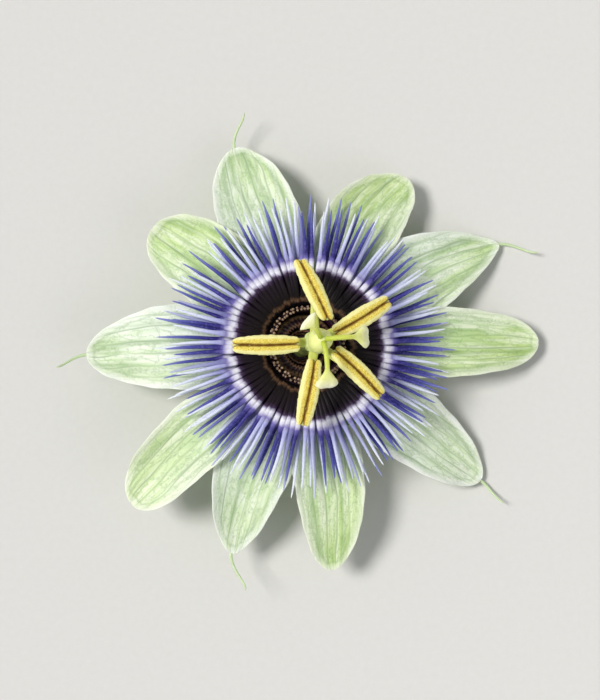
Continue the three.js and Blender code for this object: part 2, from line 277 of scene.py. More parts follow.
class Form:
    """Closed skins gathered into one mesh, with values on their points for materials to read."""

    VALUES = ("along", "across", "lateral", "edge", "front", "reach", "tone", "flush")

    def __init__(self):
        self.points = []
        self.faces = []
        self.values = {name: [] for name in self.VALUES}
        self.size = 0

    def add(self, rings, closed=False, **values):
        """Wraps a skin round rings of points. It closes on itself, or with a point in each end ring."""
        count, around = rings.shape[:2]
        index = np.arange(count * around).reshape(count, around) + self.size
        beside = np.roll(index, -1, axis=1)
        ahead = np.roll(index, -1, axis=0)
        beside_ahead = np.roll(beside, -1, axis=0)
        quads = np.stack([index, beside, beside_ahead, ahead], axis=-1)
        points = rings.reshape(-1, 3)
        if not closed:
            quads = quads[:-1]
            first = self.size + len(points)
            points = np.vstack([points, rings[0].mean(axis=0), rings[-1].mean(axis=0)])
            for i in range(around):
                j = (i + 1) % around
                self.faces.append((first, int(index[0, j]), int(index[0, i])))
                self.faces.append((first + 1, int(index[-1, i]), int(index[-1, j])))
        self.faces += quads.reshape(-1, 4).tolist()
        self.points.append(points)
        self.size += len(points)
        for name in self.VALUES:
            full = np.broadcast_to(values.get(name, 0.0), (count, around))
            ends = [] if closed else [full[0].mean(), full[-1].mean()]
            self.values[name].append(np.concatenate([full.reshape(-1), ends]))
        return self

    def mesh(self, name, place):
        mesh = bpy.data.meshes.new(name)
        mesh.from_pydata(place(np.vstack(self.points)).tolist(), [], self.faces)
        for value_name, parts in self.values.items():
            layer = mesh.attributes.new(value_name, "FLOAT", "POINT")
            layer.data.foreach_set("value", np.concatenate(parts).astype(np.float32))
        work = bmesh.new()
        work.from_mesh(mesh)
        bmesh.ops.recalc_face_normals(work, faces=work.faces)
        work.to_mesh(mesh)
        work.free()
        mesh.shade_smooth()
        return mesh


def piece(form, node, material, place=in_world):
    """The form as an object that stands for a CAD node."""
    name = f"{node}_surface"
    made = bpy.data.objects.new(name, form.mesh(name, place))
    scene.collection.objects.link(made)
    made.data.materials.append(material)
    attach(made, BODY)
    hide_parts(node)


# ---- Material tools ----


def rgb(red, green, blue):
    """An sRGB colour, 0 to 255, as the linear values of a socket."""
    channels = [channel / 255 for channel in (red, green, blue)]
    linear = [c / 12.92 if c <= 0.04045 else ((c + 0.055) / 1.055) ** 2.4 for c in channels]
    return (*linear, 1.0)


class Look:
    """A material and its node tree, with a short call for each kind of node used here."""

    def __init__(self, name, roughness, subsurface=0.0, specular=0.5):
        self.material = bpy.data.materials.new(name)
        self.material.use_nodes = True
        self.tree = self.material.node_tree
        self.surface = self.tree.nodes["Principled BSDF"]
        for socket, value in (
            ("Roughness", roughness), ("Specular IOR Level", specular), ("Subsurface Weight", subsurface),
            ("Subsurface Radius", (1.0, 1.0, 0.6)), ("Subsurface Scale", 0.8 * MM),
        ):
            self.surface.inputs[socket].default_value = value

    def node(self, kind, inputs, **settings):
        """A node with its settings; each input takes a value or another node's output."""
        made = self.tree.nodes.new(f"ShaderNode{kind}")
        for name, value in settings.items():
            setattr(made, name, value)
        for key, value in inputs.items():
            self.feed(made.inputs[key], value)
        return made

    def feed(self, socket, value):
        """Links a node's output to a socket, or sets its value. Colours are sRGB, 0 to 255."""
        if isinstance(value, bpy.types.NodeSocket):
            self.tree.links.new(value, socket)
        else:
            socket.default_value = rgb(*value) if socket.type == "RGBA" else value

    def value(self, name):
        """A value that the mesh has on its points."""
        return self.node("Attribute", {}, attribute_name=name).outputs["Fac"]

    def millimetres(self, stretch=(1, 1, 1)):
        """The object's own coordinates, counted in millimetres."""
        place = self.node("TexCoord", {}).outputs["Object"]
        factor = tuple(s / MM for s in stretch)
        return self.node("VectorMath", {0: place, 1: factor}, operation="MULTIPLY").outputs[0]

    def lengthwise(self, times_along, times_across, wander=0.0):
        """Coordinates that run along and across a blade, and differ from blade to blade."""
        along = self.times(self.value("along"), times_along)
        across = self.times(self.value("lateral"), times_across)
        apart = self.times(self.value("tone"), 60.0)
        drift = self.times(self.grain(0.5, 3.0), wander)
        across = self.plus(across, drift)
        along = self.minus(along, drift)
        return self.node("CombineXYZ", {0: along, 1: across, 2: apart}).outputs[0]

    def math(self, operation, a, b=0.0):
        return self.node("Math", {0: a, 1: b}, operation=operation).outputs[0]

    def times(self, a, b):
        return self.math("MULTIPLY", a, b)

    def plus(self, a, b):
        return self.math("ADD", a, b)

    def minus(self, a, b):
        return self.math("SUBTRACT", a, b)

    def ramp(self, factor, stops):
        """Colours, or levels as single numbers, at places along a factor from 0 to 1."""
        made = self.node("ValToRGB", {"Fac": factor})
        elements = made.color_ramp.elements
        elements.remove(elements[1])
        for number, (place, colour) in enumerate(stops):
            element = elements[0] if number == 0 else elements.new(place)
            element.position = place
            element.color = rgb(*colour) if isinstance(colour, tuple) else (colour, colour, colour, 1.0)
        return made.outputs["Color"]

    def bands(self, reach, stops):
        """Colours at distances, in millimetres, from the flower's axis."""
        factor = self.math("DIVIDE", reach, THREAD_SPAN)
        return self.ramp(factor, [(radius / THREAD_SPAN, colour) for radius, colour in stops])

    def blend(self, factor, a, b):
        """Colour a where the factor is 0, and colour b where it is 1."""
        return self.node("Mix", {0: factor, 6: a, 7: b}, data_type="RGBA").outputs[2]

    def noise(self, vector, scale, detail=2.0):
        return self.node("TexNoise", {"Vector": vector, "Scale": scale, "Detail": detail}).outputs[0]

    def grain(self, scale, detail=2.0):
        """Noise over the object's own coordinates."""
        return self.noise(self.millimetres(), scale, detail)

    def uneven(self, name, scale, amount):
        """A value, raised unevenly by noise."""
        return self.plus(self.value(name), self.times(self.grain(scale), amount))

    def coloured(self, colour):
        """The material with its colour."""
        self.feed(self.surface.inputs["Base Color"], colour)
        return self.material

    def finished(self, colour, height, strength, distance):
        """The material with its colour and its relief, from a height of 0 to 1 over a distance in mm."""
        inputs = {"Height": height, "Strength": strength, "Distance": distance * MM}
        self.feed(self.surface.inputs["Normal"], self.node("Bump", inputs).outputs["Normal"])
        return self.coloured(colour)


# ---- Materials ----


def tepal_veins(look, veins, fine, streaks):
    """How much vein shows: wandering lines along the blade and a net of cells between them."""
    wander = look.times(look.noise(look.lengthwise(2, 1.2), 1), 0.34)
    wave = look.times(look.plus(look.value("lateral"), wander), veins)
    line = look.ramp(look.math("PINGPONG", wave, 0.5), [(0, 1), (0.05, 0.6), (0.12, 0)])
    line = look.times(line, look.ramp(streaks, [(0.3, 0.2), (0.62, 1)]))
    inputs = {"Vector": look.lengthwise(9, 6.5, 2.2), "Scale": 1}
    cells = look.node("TexVoronoi", inputs, feature="DISTANCE_TO_EDGE")
    net = look.ramp(cells.outputs["Distance"], [(0, 0.6), (0.05, 0.36), (0.14, 0)])
    net = look.times(net, look.ramp(fine, [(0.35, 0.25), (0.6, 1)]))
    return look.math("MAXIMUM", line, net)


def tepal_front(look, skin, veined, patches, streaks):
    """The inner face: a greener heart, a one-sided flush ending in painted shade, a bluish root partly
    painted light, streaks and veins.
    """
    from_middle = look.math("ABSOLUTE", look.value("lateral"))
    middle = look.ramp(from_middle, [(0, 1), (0.5, 0.8), (0.9, 0.2)])
    middle = look.times(middle, look.ramp(patches, [(0.4, 0), (0.54, 1)]))
    greener = look.plus(look.times(look.value("tone"), 0.7), 0.3)
    face = look.blend(look.times(middle, greener), skin["inner"], skin["heart"])
    flush = look.plus(look.value("flush"), look.times(patches, 0.9))
    flush = look.math("DIVIDE", flush, 2.4)
    # Where the flush is strongest it turns to the vein's grey-green: painted shade on that side of the
    # blade.
    for stops, colour in (([(0.3, 0), (0.6, 0.9)], "flushed"), ([(0.54, 0), (0.78, 0.7)], "vein")):
        face = look.blend(look.times(look.ramp(flush, stops), greener), face, skin[colour])
    # The bluish-white root is partly the blade's own pale base and partly painted light that lifts the
    # threads' shadow there.
    root = look.ramp(look.value("along"), [(0.2, 0.5), (0.5, 0)])
    face = look.blend(root, face, (222, 226, 242))
    face = look.blend(look.ramp(streaks, [(0.45, 0), (0.68, 0.7)]), face, skin["margin"])
    bands = look.noise(look.lengthwise(1.8, 4.5), 1)
    face = look.blend(look.ramp(bands, [(0.48, 0), (0.64, 0.36)]), face, skin["vein"])
    return look.blend(look.times(veined, 0.66), face, skin["vein"])


def tepal_margin(look, skin, face, fine, patches, streaks):
    """The inner face with its pale, uneven margin, partly painted highlight of the raised rim, and the
    veins that end just inside it.
    """
    edge = look.plus(look.value("edge"), look.times(fine, 0.8))
    edge = look.math("DIVIDE", edge, 4)
    # The pale margin is partly the blade's own paler edge and partly painted highlight along its raised
    # rim.
    pale = look.ramp(edge, [(0.12, 0.85), (0.3, 0.5), (0.56, 0)])
    pale = look.times(pale, look.ramp(patches, [(0.35, 0.55), (0.6, 1)]))
    face = look.blend(pale, face, skin["margin"])
    inside = look.ramp(edge, [(0.4, 0), (0.5, 0.5), (0.62, 0)])
    return look.blend(look.times(inside, streaks), face, skin["vein"])


def tepal_back(look, skin, veined, patches, streaks):
    """The outer face: faint streaks and veins, and a wide pale margin."""
    streaked = look.ramp(streaks, [(0.4, 0), (0.7, 0.35)])
    back = look.blend(streaked, skin["outer"], skin["outer_margin"])
    back = look.blend(look.times(veined, 0.4), back, skin["vein"])
    margin = look.plus(look.value("edge"), look.times(patches, 1.6))
    margin = look.math("DIVIDE", margin, 6)
    return look.blend(look.ramp(margin, [(0.2, 1), (0.62, 0)]), back, skin["outer_margin"])


def tepal_material(name, veins, **skin):
    """Both faces of a sepal or petal. veins sets how close they lie, and skin names the colours."""
    look = Look(name, roughness=0.5, subsurface=0.22, specular=0.3)
    fine = look.grain(2.4, 3)
    patches = look.noise(look.lengthwise(5, 2.6), 1, 3)
    streaks = look.noise(look.lengthwise(2.6, 9), 1, 4)
    veined = tepal_veins(look, veins, fine, streaks)
    face = tepal_front(look, skin, veined, patches, streaks)
    face = tepal_margin(look, skin, face, fine, patches, streaks)
    back = tepal_back(look, skin, veined, patches, streaks)
    both = look.blend(look.value("front"), back, face)
    colour = look.blend(look.times(look.value("tone"), 0.15), both, skin["heart"])
    return look.finished(colour, look.minus(fine, look.times(veined, 0.9)), 0.4, 0.12)


def sepal_material():
    return tepal_material(
        "sepal", veins=3.5, inner=(240, 249, 232), vein=(114, 154, 90), margin=(252, 255, 246),
        heart=(182, 214, 164), flushed=(208, 229, 146), outer=(106, 160, 56),
        outer_margin=(206, 226, 180),
    )


def petal_material():
    return tepal_material(
        "petal", veins=3, inner=(234, 247, 214), vein=(108, 148, 72), margin=(251, 255, 236),
        heart=(174, 208, 144), flushed=(206, 228, 138), outer=(188, 212, 158),
        outer_margin=(222, 234, 204),
    )


def long_thread_material():
    """Corona threads: near black with a thin brown ring of painted highlight, a white band, blue-violet,
    then paler to the tips.
    """
    look = Look("corona_thread", roughness=0.5, subsurface=0.1, specular=0.25)
    tone = look.value("tone")
    mottle = look.times(look.minus(look.grain(1.4, 3), 0.5), 0.9)
    reach = look.plus(look.value("reach"), mottle)
    reach = look.plus(reach, look.times(look.minus(tone, 0.5), 0.5))
    deep = look.bands(reach, [
        # The brown stop at 9.3 mm is painted highlight: a ring of glints near the threads' foot.
        (8.8, (14, 7, 12)), (9.3, (112, 84, 62)), (9.9, (20, 13, 15)), (13.8, (26, 14, 27)),
        (14.6, (66, 46, 80)), (15.1, (200, 194, 220)), (15.5, (240, 239, 249)),
        (16.2, (220, 217, 239)), (17, (112, 104, 178)), (17.9, (50, 44, 122)),
        (21, (56, 54, 136)), (24, (80, 84, 164)), (29.5, (136, 144, 204)),
    ])
    pale = look.bands(reach, [
        (17, (208, 206, 238)), (18, (166, 168, 220)), (20, (194, 198, 236)),
        (22.5, (216, 222, 246)), (25.5, (228, 234, 248)), (29.5, (240, 245, 250)),
    ])
    past_ring = look.bands(reach, [(WHITE_RING_EDGE, 0), (WHITE_RING_EDGE + 1, 1)])
    share = look.times(past_ring, look.ramp(tone, [(0.42, 0), (0.62, 1)]))
    colour = look.blend(share, deep, pale)
    cloudy = look.times(past_ring, look.ramp(look.grain(2.2, 3), [(0.5, 0), (0.75, 0.35)]))
    colour = look.blend(cloudy, colour, (150, 146, 208))
    return look.finished(colour, look.grain(3), 0.3, 0.08)


def short_thread_material():
    """The short inner threads: near black at the foot, mauve below a paler knob that is partly painted
    highlight.
    """
    look = Look("short_thread", roughness=0.4, subsurface=0.08, specular=0.45)
    stem = look.ramp(look.uneven("along", 2, 0.1), [
        # The tan top is partly the knobs' own colour and partly painted highlight, ringing the middle
        # with glints.
        (0.1, (16, 5, 16)), (0.62, (34, 14, 28)), (0.86, (98, 72, 62)), (1, (172, 144, 118)),
    ])
    colour = look.blend(look.times(look.value("tone"), 0.4), stem, (30, 8, 32))
    return look.finished(colour, look.grain(4), 0.3, 0.06)


def fold_material():
    """The nectar folds: dark maroon, damp, with a dull brown lip."""
    look = Look("nectar_fold", roughness=0.5, subsurface=0.05, specular=0.3)
    colour = look.ramp(look.uneven("along", 1.5, 0.25), [
        (0.14, (24, 8, 16)), (0.36, (150, 120, 90)), (0.56, (34, 13, 20)), (0.86, (44, 20, 24)),
        (1, (112, 82, 64)),
    ])
    return look.finished(colour, look.grain(5), 0.25, 0.05)


def speckled_material(name, base, tip, speck, amount):
    """Smooth yellow-green tissue with small purple flecks."""
    look = Look(name, roughness=0.42, subsurface=0.15, specular=0.4)
    place = look.millimetres((1, 1, 0.6))
    cells = look.node("TexVoronoi", {"Vector": place, "Scale": 2.6}).outputs["Distance"]
    flecks = look.ramp(cells, [(0.12, 1), (0.26, 0)])
    patches = look.ramp(look.noise(place, 0.7), [(0.42, 0), (0.6, 1)])
    fleck_share = look.times(look.times(flecks, patches), amount)
    smooth = look.blend(look.value("along"), base, tip)
    smooth = look.blend(look.times(look.noise(place, 1.5), 0.35), smooth, tip)
    colour = look.blend(fleck_share, smooth, speck)
    return look.finished(colour, look.noise(place, 3), 0.25, 0.06)


def anther_material():
    """Pollen on the lobes, a pale wall round them and a brown groove between them."""
    look = Look("anther", roughness=0.75, subsurface=0.1, specular=0.2)
    pollen = look.ramp(look.grain(4.5, 3), [
        (0.32, (210, 178, 60)), (0.5, (238, 216, 94)), (0.7, (251, 241, 152)),
    ])
    wavy = look.times(look.minus(look.grain(1.1), 0.5), 0.16)
    from_middle = look.plus(look.math("ABSOLUTE", look.value("across")), wavy)
    wall = look.ramp(from_middle, [(0.54, 0), (0.7, 1)])
    groove = look.ramp(from_middle, [(0.1, 1), (0.28, 0)])
    colour = look.blend(wall, pollen, (247, 241, 166))
    colour = look.blend(groove, colour, (134, 96, 32))
    colour = look.blend(look.value("front"), (214, 214, 140), colour)
    return look.finished(colour, look.grain(7, 3), 0.7, 0.16)


def ovary_material():
    look = Look("ovary", roughness=0.48, subsurface=0.2, specular=0.35)
    skin = look.blend(look.grain(0.9, 3), (206, 218, 98), (238, 243, 170))
    colour = look.blend(look.value("along"), skin, (240, 244, 164))
    return look.finished(colour, look.grain(4), 0.25, 0.06)


def style_material():
    """Lime green styles that turn cream at the swollen stigma."""
    look = Look("style", roughness=0.45, subsurface=0.25, specular=0.35)
    colour = look.ramp(look.uneven("along", 1.2, 0.12), [
        (0.1, (190, 206, 72)), (0.6, (214, 222, 100)), (0.82, (238, 240, 158)),
        (1, (250, 250, 214)),
    ])
    freckles = look.ramp(look.grain(3.2), [(0.62, 0), (0.72, 0.4)])
    stem_only = look.ramp(look.value("along"), [(0.6, 1), (0.75, 0)])
    colour = look.blend(look.times(freckles, stem_only), colour, (118, 60, 96))
    return look.finished(colour, look.grain(6), 0.5, 0.1)


def leaf_material():
    """Bracts: pale leafy green, with a midrib and side veins paler than the blade."""
    look = Look("bract", roughness=0.5, subsurface=0.2, specular=0.35)
    side = look.math("ABSOLUTE", look.value("across"))
    slanted = look.minus(look.times(look.value("along"), 9), side)
    wobble = look.times(look.grain(0.4), 0.8)
    wave = look.math("PINGPONG", look.plus(slanted, wobble), 0.5)
    side_veins = look.ramp(wave, [(0, 0.7), (0.1, 0)])
    midrib = look.ramp(side, [(0.02, 1), (0.08, 0)])
    veins = look.math("MAXIMUM", side_veins, midrib)
    blade = look.blend(look.grain(0.35, 3), (128, 172, 72), (164, 200, 108))
    colour = look.blend(look.times(veins, 0.6), blade, (206, 224, 160))
    paler_back = look.blend(0.5, colour, (196, 214, 156))
    colour = look.blend(look.value("front"), paler_back, colour)
    return look.finished(colour, look.minus(look.grain(2, 3), veins), 0.4, 0.12)


def cup_material():
    """The cup: green outside, whitish at the rim and dark purple inside."""
    look = Look("floral_cup", roughness=0.45, subsurface=0.12, specular=0.4)
    outside = look.blend(look.grain(0.5, 3), (120, 160, 70), (166, 194, 112))
    near_rim = look.ramp(look.value("along"), [(0.5, 0), (0.62, 1)])
    rim = look.blend(near_rim, outside, (210, 218, 184))
    colour = look.blend(look.value("front"), rim, (44, 14, 36))
    return look.finished(colour, look.grain(2.5), 0.3, 0.08)


def stalk_material():
    """The cut stalk: green with fine streaks, a duller joint, and a pale cut end."""
    look = Look("stalk", roughness=0.45, subsurface=0.08, specular=0.4)
    streaks = look.noise(look.millimetres((0.12, 2.2, 2.2)), 1.6, 3)
    bark = look.ramp(streaks, [
        (0.3, (70, 104, 40)), (0.55, (104, 140, 62)), (0.75, (140, 172, 92)),
    ])
    blush = look.ramp(look.grain(0.2), [(0.5, 0), (0.75, 0.35)])
    bark = look.blend(blush, bark, (120, 84, 66))
    colour = look.blend(look.value("front"), bark, (214, 222, 168))
    return look.finished(colour, streaks, 0.4, 0.1)


def floor_material():
    look = Look("floor", roughness=0.75, specular=0.2)
    return look.coloured(look.blend(look.grain(0.8, 3), (216, 215, 211), (222, 221, 218)))


# ---- Sepals, petals and bracts ----


def tepal_middle(blade, t):
    """The line down the middle of a sepal or petal."""
    length = blade["reach"] - TEPAL_ROOT
    points = [
        [TEPAL_ROOT, blade["root"]],
        [TEPAL_ROOT + 0.34 * length, blade["root"] + blade["lift"]],
        [TEPAL_ROOT + 0.7 * length, blade["tip"] + 2.2],
        [blade["reach"], blade["tip"]],
    ]
    line = upright_curve(points, t)
    line[:, 1] += blade["swing"] * t**2 + blade["bow"] * np.sin(math.pi * t)
    line[:, 2] += HOOD * rise(t, 0.84, 1) ** 2
    return line


def tepal_share(blade, t):
    """Share of the full width at each place along a sepal or petal."""
    fullest, base_width = blade["fullest"], blade["base_width"]
    growing = base_width + (1 - base_width) * rise(t, 0, fullest)
    past = np.clip((t - fullest) / (1 - fullest), 0, 1)
    return growing * (1 - blade["narrowing"] * past**1.7) * np.sqrt(1 - past ** blade["square"])


def blade_rings(line, half_width, thickness, bend, twist, keel, groove, relief):
    """Rings round a thin blade: out along its front, back along its back.

    half_width, thickness, bend, twist and keel have a value for each place along the line. relief(v)
    is the height of the veins across. Returns the rings with their across and front values.
    """
    v = np.sin(np.linspace(-math.pi / 2, math.pi / 2, BLADE_STEPS))
    loop = np.concatenate([v, v[-2:0:-1]])
    front = np.concatenate([np.ones(BLADE_STEPS), np.zeros(BLADE_STEPS - 2)])
    facing = np.where(front > 0.5, 1.0, -1.0)
    up = unit(np.cross(unit(np.gradient(line, axis=0)), SIDE))
    level = np.cos(twist)[:, None] * SIDE + np.sin(twist)[:, None] * up
    out = np.cos(twist)[:, None] * up - np.sin(twist)[:, None] * SIDE
    y = half_width[:, None] * loop
    swell = np.sqrt(np.clip(1 - loop**6, 0, 1))
    height = facing * swell * thickness[:, None] / 2 + bend(loop)
    ridge = np.exp(-((y / 0.7) ** 2))
    height = height - (1 - front) * keel[:, None] * ridge - front * groove * ridge
    height = height + relief(loop) * swell
    rings = line[:, None] + level[:, None] * y[..., None] + out[:, None] * height[..., None]
    return rings, np.broadcast_to(loop, y.shape), np.broadcast_to(front, y.shape)


def edge_waves(v, t, ripples, phase):
    """Waves that grow towards the edges of a blade, and differ from side to side."""
    one_side = np.sin(ripples * t + phase[0])[:, None] * np.clip(v, 0, 1) ** 2
    other_side = np.sin((ripples + 1) * t + phase[1])[:, None] * np.clip(-v, 0, 1) ** 2
    return one_side + other_side


def tepal(blade):
    form = Form()
    # The rings lie closer together towards the tip, and end just short of it.
    t = 0.9992 * (1 - (1 - shares("tepal")) ** 1.7)
    line = tepal_middle(blade, t)
    line[:, 0] -= 0.5 * (1 - rise(t, 0, 0.05))
    share = tepal_share(blade, t)
    phase = rng.uniform(0, 2 * math.pi, 4)
    uneven = 1 + 0.012 * np.sin(17 * t + phase[2]) + 0.008 * np.sin(41 * t + phase[1])
    half_width = blade["width"] / 2 * share * uneven
    hollow = (rise(t, 0.1, 0.5) * (1 - 0.85 * rise(t, 0.8, 1)))[:, None]

    def bend(v):
        crease = np.sqrt(v**2 + 0.03) * blade["fold"]
        lip = 0.22 * rise(np.abs(v), 0.8, 1.0)
        return hollow * (blade["cup"] * v**2 + 0.4 * edge_waves(v, t, 9, phase) + crease + lip)

    def relief(v):
        along_v = v * share[:, None] ** 0.6
        wander = 0.25 * np.sin(5 * t + phase[3])[:, None]
        ridges = np.cos(2 * math.pi * (blade["folds"] * along_v + wander))
        return 0.05 * ridges * (0.6 + 0.4 * np.sin(9 * along_v + phase[2]))

    keel = blade["keel"] * rise(t, 0, 0.2) * (1 - rise(t, 0.86, 0.97))
    thickness = blade["thickness"] * (1 - 0.35 * t)
    twist = math.radians(blade["twist"]) * rise(t, 0.15, 1)
    rings, across, front = blade_rings(line, half_width, thickness, bend, twist, keel, 0.1, relief)
    rings[..., 2] += 0.12 * noise_at(rings + 40 * phase[0], 0.16)
    length = blade["reach"] - TEPAL_ROOT
    edge = np.minimum((1 - np.abs(across)) * half_width[:, None], (1 - t[:, None]) * length)
    lateral = across * share[:, None] ** 0.6
    # Greener towards the tip and on the greener side; the strongest part of this is painted shade.
    flush = t[:, None] + 0.45 * blade["greener"] * lateral
    form.add(turn(rings, blade["azimuth"]), along=t[:, None], across=across, lateral=lateral, edge=edge,
             front=front, flush=flush, tone=blade["green"])
    if "curl" in blade:
        form.add(turn(awn_rings(blade), blade["azimuth"]), along=0.5, edge=0.8)
    return form


def awn_rings(blade):
    """The awn, which leaves a sepal's keel before the tip, curves up and curls past it."""
    start, end = tepal_middle(blade, np.array([AWN["start"], 1.0]))
    forwards = unit(end - start)
    up = unit(np.cross(forwards, SIDE))
    rest = np.linalg.norm(end - start)
    length = AWN["length"]
    offsets = [(0, -0.45), (rest * 0.8, -0.5), (rest + length * 0.4, 0.1), (rest + length * 0.85, 2.5)]
    points = [start + forwards * distance + up * height for distance, height in offsets]
    line = smooth_path(points, RINGS["awn"])
    s = shares("awn")
    line[:, 1] += blade["curl"] * rise(s, 0.35, 1) ** 1.5
    radius = AWN["radius"] * (1 - 0.65 * s) * round_ends(s, 0.02, 0.04) + POINT
    return tube_rings(line, radius, radius)


def bract(azimuth, root, height, reach, width, thickness, cup):
    """A leafy scale below the cup."""
    t = 1 - (1 - shares("bract")) ** 1.3
    line = upright_curve([
        [root - 0.6, height], [root + 6, height - 1.0], [reach - 7, height - 0.2], [reach, height + 1.7],
    ], t)
    outline = 0.16 + 0.84 * np.sin(math.pi * np.clip(t * 1.02, 0, 1)) ** 0.8
    outline = outline * (1 - 0.9 * rise(t, 0.7, 1.0)) * (1 - 0.9 * rise(t, 0.97, 1.0))
    half_width = width / 2 * outline
    phase = rng.uniform(0, 2 * math.pi, 2)
    flattening = 1 - rise(t, 0.72, 0.98)
    hollow = cup * rise(t, 0.1, 0.6) * flattening

    def bend(v):
        wavy = (rise(t, 0.1, 0.5) * flattening)[:, None]
        return hollow[:, None] * v**2 + 0.3 * edge_waves(v, t, 11, phase) * wavy

    thinning = thickness * (1 - 0.4 * t)
    keel = 0.25 * (1 - t)
    rings, across, front = blade_rings(line, half_width, thinning, bend, 0 * t, keel, 0.12, np.zeros_like)
    return Form().add(turn(rings, azimuth), across=across, front=front, along=t[:, None])


# ---- Corona ----


def row_ring(row):
    """The ring that a row's threads grow out of, as a loop of sections round the axis."""
    inner, outer, top = row["inner"], row["outer"], row["top"]
    angle = angles(AROUND["row_section"])
    radius = (inner + outer) / 2 + (outer - inner) / 2 * np.cos(angle)
    height = (top + RING_SEAT) / 2 + (top - RING_SEAT) / 2 * np.sin(angle)
    return np.swapaxes(turned_rings(np.stack([radius, height], axis=-1), AROUND["row"]), 0, 1)


def thread_line(points, length, sway, lift, wave):
    """The wandering middle line of a corona thread, and the share of the way along it."""
    s = shares("thread")
    line = upright_curve(points, s * length)
    phase = rng.uniform(0, 2 * math.pi, 2)
    line[:, 1] += sway * s**1.6 + wave * s * np.sin(9 * s + phase[0])
    line[:, 2] += lift * s**1.4 + wave * s * np.sin(10 * s + phase[1])
    return line, s


def add_thread(form, azimuth, line, s, wide, high, tone):
    ends = round_ends(s, 0.01, 0.03)
    rings = tube_rings(line, wide * ends + POINT / 2, high * ends + POINT / 2)
    reach = np.hypot(line[:, 0], line[:, 1])[:, None]
    form.add(turn(rings, azimuth), along=s[:, None], reach=reach, tone=tone)


def long_row(row, points, first, length):
    """A ring with its long threads; length is the middle of what is drawn for each."""
    form = Form().add(row_ring(row), closed=True, reach=8.0)
    spacing = 360 / row["count"]
    for number in range(row["count"]):
        azimuth = (number + first) * spacing + rng.normal(0, 0.13 * spacing)
        size = rng.uniform(0.9, 1.1)
        reaching = length + rng.uniform(-0.06, 0.05)
        sway = rng.normal(0, 0.5)
        lift = rng.uniform(-0.45, 0.6)
        line, s = thread_line(points, reaching, sway, lift, 0.14)
        reach = np.hypot(line[:, 0], line[:, 1])
        past_ring = rise(reach, WHITE_RING_EDGE, WHITE_RING_EDGE + 2.5)
        slim = 1 - 0.34 * past_ring - 0.2 * rise(s, 0.6, 0.95) - 0.22 * rise(s, 0.84, 1)
        wide = THREAD["wide"] * size * slim
        high = THREAD["high"] * size * slim
        add_thread(form, azimuth, line, s, wide, high, rng.uniform())
    return form


def short_row():
    """The short upright threads, each with a knob, and a lower rank behind them."""
    form = Form().add(row_ring(INNER_ROW), closed=True)
    for points, count in ((INNER_LINE, INNER_ROW["count"]), (LOWER_LINE, INNER_ROW["count"] - 4)):
        for number in range(count):
            azimuth = 360 / count * (number + rng.uniform(-0.25, 0.25))
            knob = rng.uniform(0.04, 0.1)
            reaching = rng.uniform(0.78, 1.02)
            sway = rng.normal(0, 0.2)
            lift = rng.normal(0, 0.25)
            line, s = thread_line(points, reaching, sway, lift, 0.1)
            thick = 0.18 + knob * np.exp(-(((s - 0.92) / 0.1) ** 2))
            add_thread(form, azimuth, line, s, thick, thick, rng.uniform())
    return form


# ---- Inside the cup ----


def pleated(profile, pleats, depth, around):
    """A closed section turned about the axis, folded into pleats where depth says, point by point."""
    rings = turned_rings(profile, around)
    pleat = np.cos(pleats * angles(around))
    fold = 1 + np.array(depth)[:, None] * pleat / np.array(profile)[:, :1]
    rings[..., :2] *= fold[..., None]
    return np.swapaxes(rings, 0, 1)


def operculum():
    """The folded skirt that roofs the nectar."""
    profile = [
        [6.3, -1.7], [6.35, -1.0], [5.8, -0.45], [5.1, -0.1], [4.5, 0.12], [4.15, 0.05], [4.05, -0.25],
        [4.3, -0.45], [4.8, -0.75], [5.3, -1.2], [5.8, -1.65],
    ]
    depth = [0, 0, 0.1, 0.16, 0.2, 0.22, 0.2, 0.16, 0.1, 0.05, 0]
    along = [0, 0.1, 0.3, 0.5, 0.85, 1.1, 0.9, 0.5, 0.3, 0.1, 0]
    return Form().add(pleated(profile, 42, depth, AROUND["operculum"]), closed=True, along=along)


def limen():
    """The low collar round the foot of the column."""
    profile = [
        [2.4, -3.5], [2.8, -3.6], [3.2, -3.5], [3.3, -2.7], [3.45, -2.0], [3.25, -1.8], [3.0, -2.0],
        [2.7, -2.8],
    ]
    depth = [0, 0, 0, 0.03, 0.08, 0.08, 0.08, 0.03]
    along = [0, 0, 0.1, 0.4, 0.8, 1.1, 0.7, 0.3]
    return Form().add(pleated(profile, 20, depth, AROUND["limen"]), closed=True, along=along)


def floral_cup():
    """A bowl: up its outside, over the ledge that carries the corona, and down inside."""
    path = smooth_path([
        [POINT, -7.5], [1.3, -7.5], [1.6, -7.2], [1.65, -6.2], [3.4, -5.25], [7.2, -4.3], [9.2, -2.4],
        [9.8, -0.6], [9.82, 0.3], [9.65, 0.58], [8.4, 0.62], [7.1, 0.58], [6.85, 0.3], [6.7, -1.6],
        [5.8, -3.0], [4.0, -3.6], [POINT, -3.62],
    ], RINGS["cup"])
    radius, height = path.T[..., None]
    rings = turned_rings(path, AROUND["cup"])
    ribs = 0.12 * np.cos(10 * angles(AROUND["cup"])) * np.exp(-(((height + 3.2) / 1.8) ** 2))
    ribs = ribs * rise(radius, 6.5, 8)
    rings[..., :2] *= (1 + ribs / 8)[..., None]
    along = shares("cup")[:, None]
    return Form().add(rings, along=along, front=rise(along, 0.565, 0.6))


def column():
    path = smooth_path([
        [POINT, -3.4], [1.9, -3.3], [1.8, -2.6], [1.7, -1.6], [1.72, -0.8], [1.32, 0.3], [1.2, 2.0],
        [1.18, 4.0], [1.2, 6.5], [1.25, 8.2], [1.55, 9.8], [2.1, 10.8], [2.3, 11.3], [2.1, 11.8],
        [1.5, 12.05], [POINT, 12.1],
    ], RINGS["column"])
    height = path[:, 1:]
    rings = turned_rings(path, AROUND["column"])
    flutes = 0.05 * np.cos(5 * angles(AROUND["column"])) * rise(height, 0, 9)
    rings[..., :2] *= (1 + flutes)[..., None]
    return Form().add(rings, along=rise(height, -2, 11))


